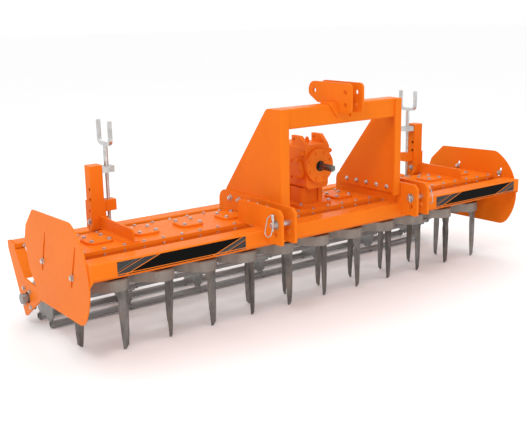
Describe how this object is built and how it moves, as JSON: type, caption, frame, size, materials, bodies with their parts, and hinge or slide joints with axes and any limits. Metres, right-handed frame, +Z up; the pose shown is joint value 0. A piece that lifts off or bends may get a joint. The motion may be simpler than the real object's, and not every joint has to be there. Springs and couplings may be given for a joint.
{
  "type": "power harrow",
  "caption": "Tractor-mounted power harrow: a gear trough with a row of tined rotors, three-point headstock, gearbox, side deflectors and a rear cage roller set by depth posts.",
  "frame": {"origin": "on the ground under the middle of the machine's outline", "axes": "+X to the right seen from the tractor side, +Y back from the tractor, +Z up"},
  "size_m": [2.932, 1.181, 1.217],
  "materials": {
    "orange_paint": "gloss paint",
    "orange_casting": "painted casting",
    "tine_steel": "dark forged steel",
    "roller_steel": "dull grey steel",
    "zinc_plate": "zinc plated",
    "shaft_steel": "oiled steel"
  },
  "bodies": {
    "frame": {"gear_trough": "orange_paint", "trough_lid": "orange_paint", "bearing_caps": "orange_paint", "front_rail": "orange_paint", "headstock_beam": "orange_paint", "top_link_bracket": "orange_paint", "gearbox_housing": "orange_casting", "end_plate_left": "orange_paint", "deflector_left": "orange_paint", "headstock_side_left": "orange_paint", "hitch_ear_inner_left": "orange_paint", "hitch_ear_outer_left": "orange_paint", "outer_post_left": "orange_paint", "hitch_pin_left": "zinc_plate", "end_plate_right": "orange_paint", "deflector_right": "orange_paint", "headstock_side_right": "orange_paint", "hitch_ear_inner_right": "orange_paint", "hitch_ear_outer_right": "orange_paint", "outer_post_right": "orange_paint", "hitch_pin_right": "zinc_plate"},
    "pto": {"pto_shaft": "shaft_steel"},
    "rotor_01": {"rotor_01_carrier": "tine_steel", "rotor_01_tines": "tine_steel"},
    "rotor_02": {"rotor_02_carrier": "tine_steel", "rotor_02_tines": "tine_steel"},
    "rotor_03": {"rotor_03_carrier": "tine_steel", "rotor_03_tines": "tine_steel"},
    "rotor_04": {"rotor_04_carrier": "tine_steel", "rotor_04_tines": "tine_steel"},
    "rotor_05": {"rotor_05_carrier": "tine_steel", "rotor_05_tines": "tine_steel"},
    "rotor_06": {"rotor_06_carrier": "tine_steel", "rotor_06_tines": "tine_steel"},
    "rotor_07": {"rotor_07_carrier": "tine_steel", "rotor_07_tines": "tine_steel"},
    "rotor_08": {"rotor_08_carrier": "tine_steel", "rotor_08_tines": "tine_steel"},
    "rotor_09": {"rotor_09_carrier": "tine_steel", "rotor_09_tines": "tine_steel"},
    "rotor_10": {"rotor_10_carrier": "tine_steel", "rotor_10_tines": "tine_steel"},
    "rotor_11": {"rotor_11_carrier": "tine_steel", "rotor_11_tines": "tine_steel"},
    "roller_frame": {"rear_beam": "orange_paint", "inner_post_left": "orange_paint", "depth_screw_left": "zinc_plate", "roller_arm_left": "orange_paint", "roller_bearing_left": "tine_steel", "inner_post_right": "orange_paint", "depth_screw_right": "zinc_plate", "roller_arm_right": "orange_paint", "roller_bearing_right": "tine_steel"},
    "roller": {"cage_roller": "roller_steel"}
  },
  "joints": [
    {"name": "rotor_01_spin", "type": "hinge", "parent": "frame", "child": "rotor_01", "pos_m": [-1.25, -0.1295, 0.337], "axis": [0, 0, 1], "continuous": true},
    {"name": "rotor_02_spin", "type": "hinge", "parent": "frame", "child": "rotor_02", "pos_m": [-1, -0.1295, 0.337], "axis": [0, 0, 1], "continuous": true},
    {"name": "rotor_03_spin", "type": "hinge", "parent": "frame", "child": "rotor_03", "pos_m": [-0.75, -0.1295, 0.337], "axis": [0, 0, 1], "continuous": true},
    {"name": "rotor_04_spin", "type": "hinge", "parent": "frame", "child": "rotor_04", "pos_m": [-0.5, -0.1295, 0.337], "axis": [0, 0, 1], "continuous": true},
    {"name": "rotor_05_spin", "type": "hinge", "parent": "frame", "child": "rotor_05", "pos_m": [-0.25, -0.1295, 0.337], "axis": [0, 0, 1], "continuous": true},
    {"name": "rotor_06_spin", "type": "hinge", "parent": "frame", "child": "rotor_06", "pos_m": [0, -0.1295, 0.337], "axis": [0, 0, 1], "continuous": true},
    {"name": "rotor_07_spin", "type": "hinge", "parent": "frame", "child": "rotor_07", "pos_m": [0.25, -0.1295, 0.337], "axis": [0, 0, 1], "continuous": true},
    {"name": "rotor_08_spin", "type": "hinge", "parent": "frame", "child": "rotor_08", "pos_m": [0.5, -0.1295, 0.337], "axis": [0, 0, 1], "continuous": true},
    {"name": "rotor_09_spin", "type": "hinge", "parent": "frame", "child": "rotor_09", "pos_m": [0.75, -0.1295, 0.337], "axis": [0, 0, 1], "continuous": true},
    {"name": "rotor_10_spin", "type": "hinge", "parent": "frame", "child": "rotor_10", "pos_m": [1, -0.1295, 0.337], "axis": [0, 0, 1], "continuous": true},
    {"name": "rotor_11_spin", "type": "hinge", "parent": "frame", "child": "rotor_11", "pos_m": [1.25, -0.1295, 0.337], "axis": [0, 0, 1], "continuous": true},
    {"name": "pto_spin", "type": "hinge", "parent": "frame", "child": "pto", "pos_m": [0, -0.2795, 0.762], "axis": [0, -1, 0], "continuous": true},
    {"name": "depth_slide", "type": "slide", "parent": "frame", "child": "roller_frame", "axis": [0, 0, 1], "range_m": [-0.1, 0.12]},
    {"name": "roller_spin", "type": "hinge", "parent": "roller_frame", "child": "roller", "pos_m": [0, 0.3585, 0.16303], "axis": [1, 0, 0], "continuous": true}
  ],
  "couplings": [
    {"joint": "rotor_01_spin", "follows": "rotor_06_spin", "ratio": -1},
    {"joint": "rotor_02_spin", "follows": "rotor_06_spin", "ratio": 1},
    {"joint": "rotor_03_spin", "follows": "rotor_06_spin", "ratio": -1},
    {"joint": "rotor_04_spin", "follows": "rotor_06_spin", "ratio": 1},
    {"joint": "rotor_05_spin", "follows": "rotor_06_spin", "ratio": -1},
    {"joint": "rotor_07_spin", "follows": "rotor_06_spin", "ratio": -1},
    {"joint": "rotor_08_spin", "follows": "rotor_06_spin", "ratio": 1},
    {"joint": "rotor_09_spin", "follows": "rotor_06_spin", "ratio": -1},
    {"joint": "rotor_10_spin", "follows": "rotor_06_spin", "ratio": 1},
    {"joint": "rotor_11_spin", "follows": "rotor_06_spin", "ratio": -1},
    {"joint": "pto_spin", "follows": "rotor_06_spin", "ratio": 1.9}
  ]
}
